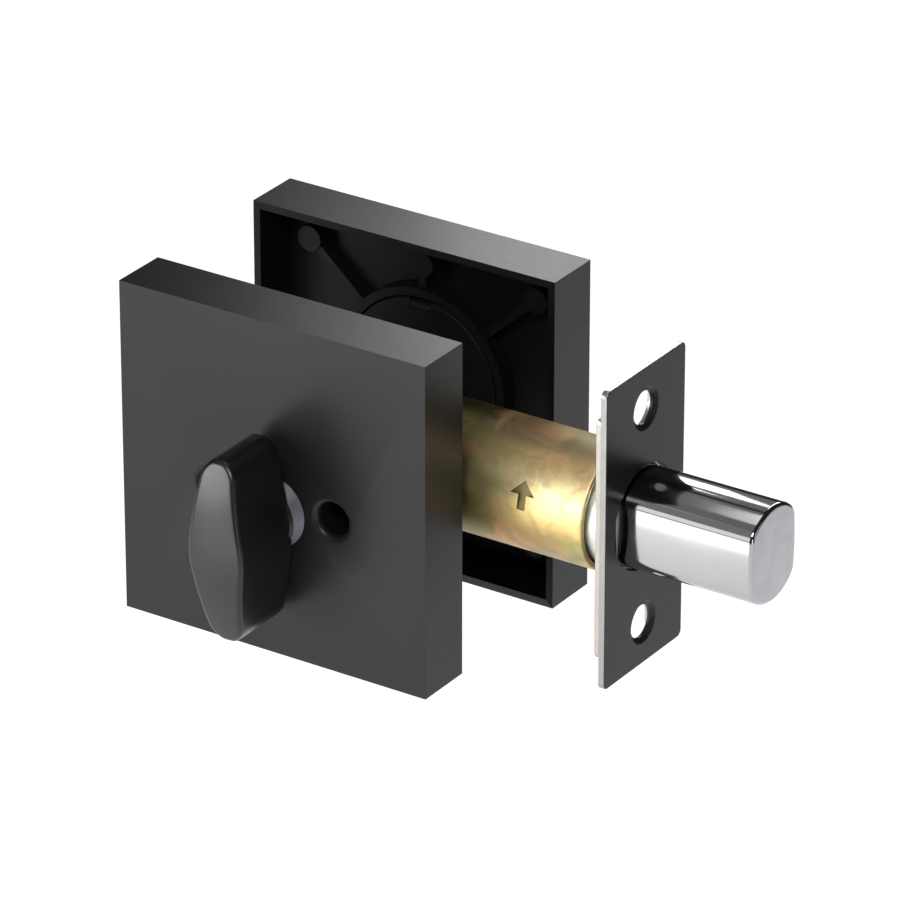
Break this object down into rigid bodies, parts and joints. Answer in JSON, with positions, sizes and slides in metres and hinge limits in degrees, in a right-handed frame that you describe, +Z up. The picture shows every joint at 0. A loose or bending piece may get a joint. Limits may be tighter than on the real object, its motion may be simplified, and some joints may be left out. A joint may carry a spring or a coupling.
{
  "type": "deadbolt door lock",
  "caption": "Square-trim deadbolt: hollow rosettes with thumbturn and keyed cylinder either side of a round tubular latch with a sliding bolt.",
  "frame": {"origin": "centre of the door's round cross bore, midway between the two rosettes", "axes": "+X towards the door's edge, the way the bolt is thrown; +Y towards the exterior (keyed) side; +Z up"},
  "size_m": [0.118, 0.0848, 0.064],
  "materials": {
    "satin_black": "satin black coating on die-cast zinc",
    "bolt_chrome": "polished chrome, satin nose",
    "collar_nickel": "satin nickel",
    "yellow_zinc": "yellow chromate zinc plating with rainbow tints",
    "clear_zinc": "clear zinc plating",
    "hard_steel": "machined steel",
    "brass": "turned brass"
  },
  "bodies": {
    "lock_frame": {"interior_rosette": "satin_black", "exterior_rosette": "satin_black", "mounting_screw_left": "satin_black", "mounting_screw_right": "satin_black", "thumbturn_collar": "collar_nickel", "thumbturn_washer": "clear_zinc", "latch_tube": "yellow_zinc", "tube_end_cap": "yellow_zinc", "cheek_interior": "clear_zinc", "cheek_exterior": "clear_zinc", "cheek_rivet_1": "clear_zinc", "cheek_rivet_2": "clear_zinc", "faceplate": "satin_black", "backing_plate": "clear_zinc", "bolt_sleeve": "clear_zinc", "cylinder_housing": "satin_black", "pin_cover": "satin_black", "cylinder_guard": "satin_black", "driver_pin_1": "hard_steel", "pin_spring_1": "hard_steel", "driver_pin_2": "hard_steel", "pin_spring_2": "hard_steel", "driver_pin_3": "hard_steel", "pin_spring_3": "hard_steel", "driver_pin_4": "hard_steel", "pin_spring_4": "hard_steel", "driver_pin_5": "hard_steel", "pin_spring_5": "hard_steel"},
    "thumbturn_assembly": {"thumbturn": "satin_black", "thumbturn_clip": "hard_steel", "tailpiece": "hard_steel"},
    "crank_assembly": {"crank": "hard_steel", "crank_pin": "hard_steel"},
    "bolt_assembly": {"deadbolt": "bolt_chrome", "roller_pin": "hard_steel", "bolt_tail": "clear_zinc", "tail_rivet_1": "hard_steel", "tail_rivet_2": "hard_steel"},
    "plug_assembly": {"cylinder_plug": "brass", "plug_cap": "hard_steel", "key_pin_1": "brass", "key_pin_2": "brass", "key_pin_3": "brass", "key_pin_4": "brass", "key_pin_5": "brass"}
  },
  "joints": [
    {"name": "thumbturn_turn", "type": "hinge", "parent": "lock_frame", "child": "thumbturn_assembly", "pos_m": [0, 0, -0.004], "axis": [0, -1, 0], "range_deg": [0, 90]},
    {"name": "crank_turn", "type": "hinge", "parent": "lock_frame", "child": "crank_assembly", "pos_m": [0, 0, -0.004], "axis": [0, -1, 0], "range_deg": [0, 90]},
    {"name": "bolt_slide", "type": "slide", "parent": "lock_frame", "child": "bolt_assembly", "axis": [-1, 0, 0], "range_m": [0, 0.0254]},
    {"name": "plug_turn", "type": "hinge", "parent": "lock_frame", "child": "plug_assembly", "pos_m": [0, 0, -0.004], "axis": [0, -1, 0], "range_deg": [-90, 90]}
  ],
  "couplings": [
    {"joint": "thumbturn_turn", "follows": "bolt_slide", "rad_per_m": 61.842},
    {"joint": "crank_turn", "follows": "bolt_slide", "rad_per_m": 61.842}
  ]
}
